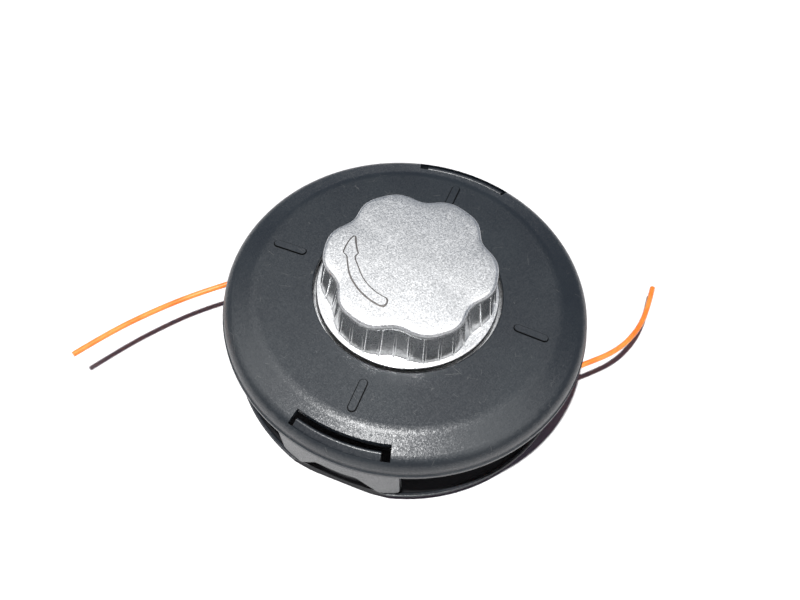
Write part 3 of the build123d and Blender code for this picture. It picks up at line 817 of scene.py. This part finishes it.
def arrow(name, spread, sunk, raised):
    """Arrow that shows which way the line is wound, laid on the dome and spread outward all round."""
    build = bmesh.new()
    sections = []
    longer = 1 + math.degrees(spread / arrow_radius) / arrow_half_span
    for angle, middle, half in arrow_stations():
        turn = math.radians(arrow_middle + arrow_turn + (angle - arrow_middle) * longer)
        middle += arrow_shift
        half += spread
        near, far = (middle - half) * mm, (middle + half) * mm
        section = []
        for radius, lift in ((near, -sunk), (far, -sunk), (far, raised), (near, raised)):
            place = (radius * math.cos(turn), radius * math.sin(turn), dome_height(radius) + lift)
            section.append(build.verts.new(place))
        sections.append(section)
    build.faces.new(sections[0])
    build.faces.new(sections[-1][::-1])
    for section, following in zip(sections, sections[1:]):
        for k in range(4):
            after = (k + 1) % 4
            build.faces.new((section[k], following[k], following[after], section[after]))
    return built(name, build)


def knob_hollow():
    """Hollow under the casting: a cavity with a socket wall, a boss and webs left standing in it."""
    cavity = turned("cavity", [
        (0, knob_low - mm), (hollow_mouth_radius, knob_low - mm), (hollow_radius, knob_ledge),
        (hollow_radius, hollow_roof - hollow_round), (hollow_radius - hollow_round, hollow_roof), (0, hollow_roof),
    ])
    combine(cavity, cylinder("core", socket_wall_radius, knob_low - 2 * mm, socket_wall_top), "DIFFERENCE")
    combine(cavity, cylinder("boss", knob_boss_radius, knob_low - 2 * mm, hollow_roof + mm), "DIFFERENCE")
    for k in range(lobe_count):
        turn = lobe_turn + 2 * math.pi * k / lobe_count
        along = Vector((math.cos(turn), math.sin(turn)))
        across = Vector((-math.sin(turn), math.cos(turn))) * web_half_width
        near = along * 5 * mm
        far = along * (hollow_radius + mm)
        corners = [near - across, far - across, far + across, near + across]
        combine(cavity, prism("web", corners, socket_roof, hollow_roof + mm), "DIFFERENCE")
    return cavity


def make_knob():
    knob = knob_skin("knob_casting")
    # the groove's faces take the painted shade finish
    groove = arrow("arrow_groove", groove_width, sunk=groove_depth, raised=1.0 * mm)
    groove.data.materials.append(knob_groove_shade)
    combine(knob, groove, "DIFFERENCE")
    embossed = arrow("arrow", 0.0, sunk=0.9 * mm, raised=arrow_height)
    embossed.data.materials.append(knob_metal)
    combine(knob, embossed, "UNION")
    hollow = knob_hollow()
    hollow.data.materials.append(knob_metal)
    combine(knob, hollow, "DIFFERENCE")
    combine(knob, prism("socket", hexagon(socket_half_width), knob_low - mm, socket_roof), "DIFFERENCE")
    combine(knob, cylinder("bolt_hole", bolt_hole_radius, knob_low - mm, bolt_hole_top, 48), "DIFFERENCE")
    smooth(knob, 32)
    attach(knob, "spool_body")
    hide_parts("bump_knob")


make_knob()


# Studio
def make_floor():
    """White table that glows away from the piece, so that it runs into the white background."""
    mesh = bpy.data.meshes.new("floor")
    half = floor_size / 2
    mesh.from_pydata([(-half, -half, 0), (half, -half, 0), (half, half, 0), (-half, half, 0)], [], [(0, 1, 2, 3)])
    floor = new_object("floor", mesh)
    material, maker, shader, place = new_material("white_floor")
    shader.inputs["Base Color"].default_value = (0.86, 0.86, 0.86, 1.0)
    shader.inputs["Roughness"].default_value = 0.9
    away = maker.add("ShaderNodeVectorMath", {0: place}, operation="LENGTH").outputs["Value"]
    glow_strength = band(maker, away, 0.13, 0.40, 0.0, 0.9)
    glow = maker.add("ShaderNodeEmission", {"Color": white, "Strength": glow_strength}).outputs[0]
    glowing = maker.add("ShaderNodeAddShader", {0: shader.outputs[0], 1: glow}).outputs[0]
    room = maker.add("ShaderNodeEmission", {"Color": (0.20, 0.24, 0.30, 1.0)}).outputs[0]
    glossy = maker.add("ShaderNodeLightPath").outputs["Is Glossy Ray"]
    beyond = maker.calc("MULTIPLY", glossy, band(maker, away, 0.22, 0.45))
    table = maker.add("ShaderNodeMixShader", {0: beyond, 1: glowing, 2: room}).outputs[0]
    maker.join(table, material.node_tree.nodes["Material Output"].inputs["Surface"])
    floor.data.materials.append(material)


def make_sky():
    """White background, a faint fill light, and the sky that shiny surfaces mirror."""
    world = bpy.data.worlds.new("studio")
    bpy.context.scene.world = world
    world.use_nodes = True
    sky = Maker(world.node_tree)
    rays = sky.add("ShaderNodeLightPath")
    way = sky.add("ShaderNodeSeparateXYZ", {0: sky.add("ShaderNodeTexCoord").outputs["Generated"]})
    to_back, up = way.outputs[1], way.outputs[2]
    room = blend_colours(sky, band(sky, to_back, -0.4, 0.4), room_front, room_back)
    lit = sky.calc("MULTIPLY", band(sky, to_back, *ceiling_behind), band(sky, to_back, *ceiling_in_front))
    lit = sky.calc("MULTIPLY", lit, band(sky, up, *ceiling_overhead, overhead_share, 1.0))
    ceiling = blend_colours(sky, lit, ceiling_dim, ceiling_bright)
    height = sky.calc("SUBTRACT", up, sky.calc("MULTIPLY", to_back, ceiling_lean))
    mirrored = blend_colours(sky, band(sky, height, *ceiling_foot), room, ceiling)
    colour = blend_colours(sky, rays.outputs["Is Glossy Ray"], fill_light, mirrored)
    clear = sky.calc("MAXIMUM", rays.outputs["Is Camera Ray"], rays.outputs["Is Transmission Ray"])
    colour = blend_colours(sky, clear, colour, white)
    sky.join(colour, world.node_tree.nodes["Background"].inputs["Color"])


def make_lamp():
    lamp = bpy.data.objects.new("lamp", bpy.data.lights.new("lamp", "AREA"))
    lamp.data.shape = "DISK"
    lamp.data.size = lamp_size
    lamp.data.energy = lamp_power
    lamp.location = lamp_place
    lamp.rotation_euler = (camera_aim - lamp_place).to_track_quat("-Z", "Y").to_euler()
    bpy.context.scene.collection.objects.link(lamp)


make_floor()
make_sky()
make_lamp()

bpy.context.scene.view_settings.view_transform = "Standard"
